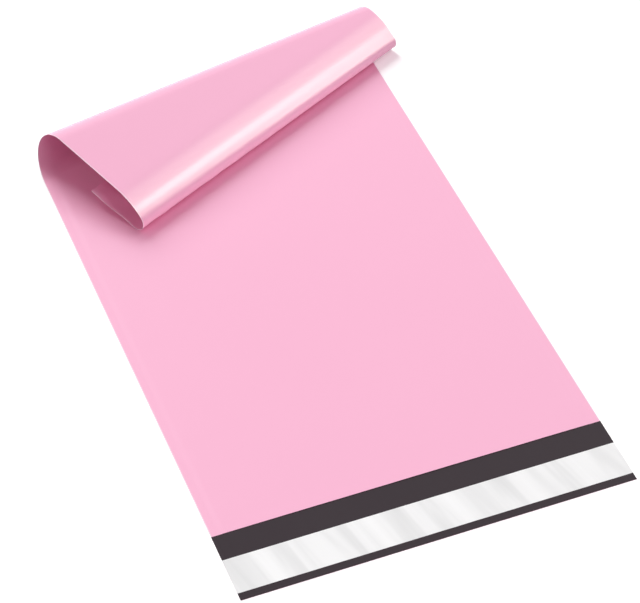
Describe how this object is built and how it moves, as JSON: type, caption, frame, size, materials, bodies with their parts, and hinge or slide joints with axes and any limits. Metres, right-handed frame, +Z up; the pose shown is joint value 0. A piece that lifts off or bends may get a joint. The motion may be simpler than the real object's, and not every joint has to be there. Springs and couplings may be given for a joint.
{
  "type": "poly mailer bag",
  "caption": "Flat polyethylene mailing bag with welded sides, a peel-and-seal flap and its closed end curled over into a loose slanted roll.",
  "frame": {"origin": "middle of the bag's outline as it lies, on the surface under it", "axes": "+Y along the bag from the flap to the curled closed end, +X across it, +Z up from the back panel"},
  "size_m": [0.2736, 0.4598, 0.0345],
  "materials": {
    "film": "satin pink film, charcoal on its inner side",
    "adhesive": "clear hot-melt",
    "liner": "white siliconed strip"
  },
  "bodies": {
    "root": {"film_pouch": "film", "adhesive_strip": "adhesive", "release_liner": "liner"}
  },
  "joints": []
}
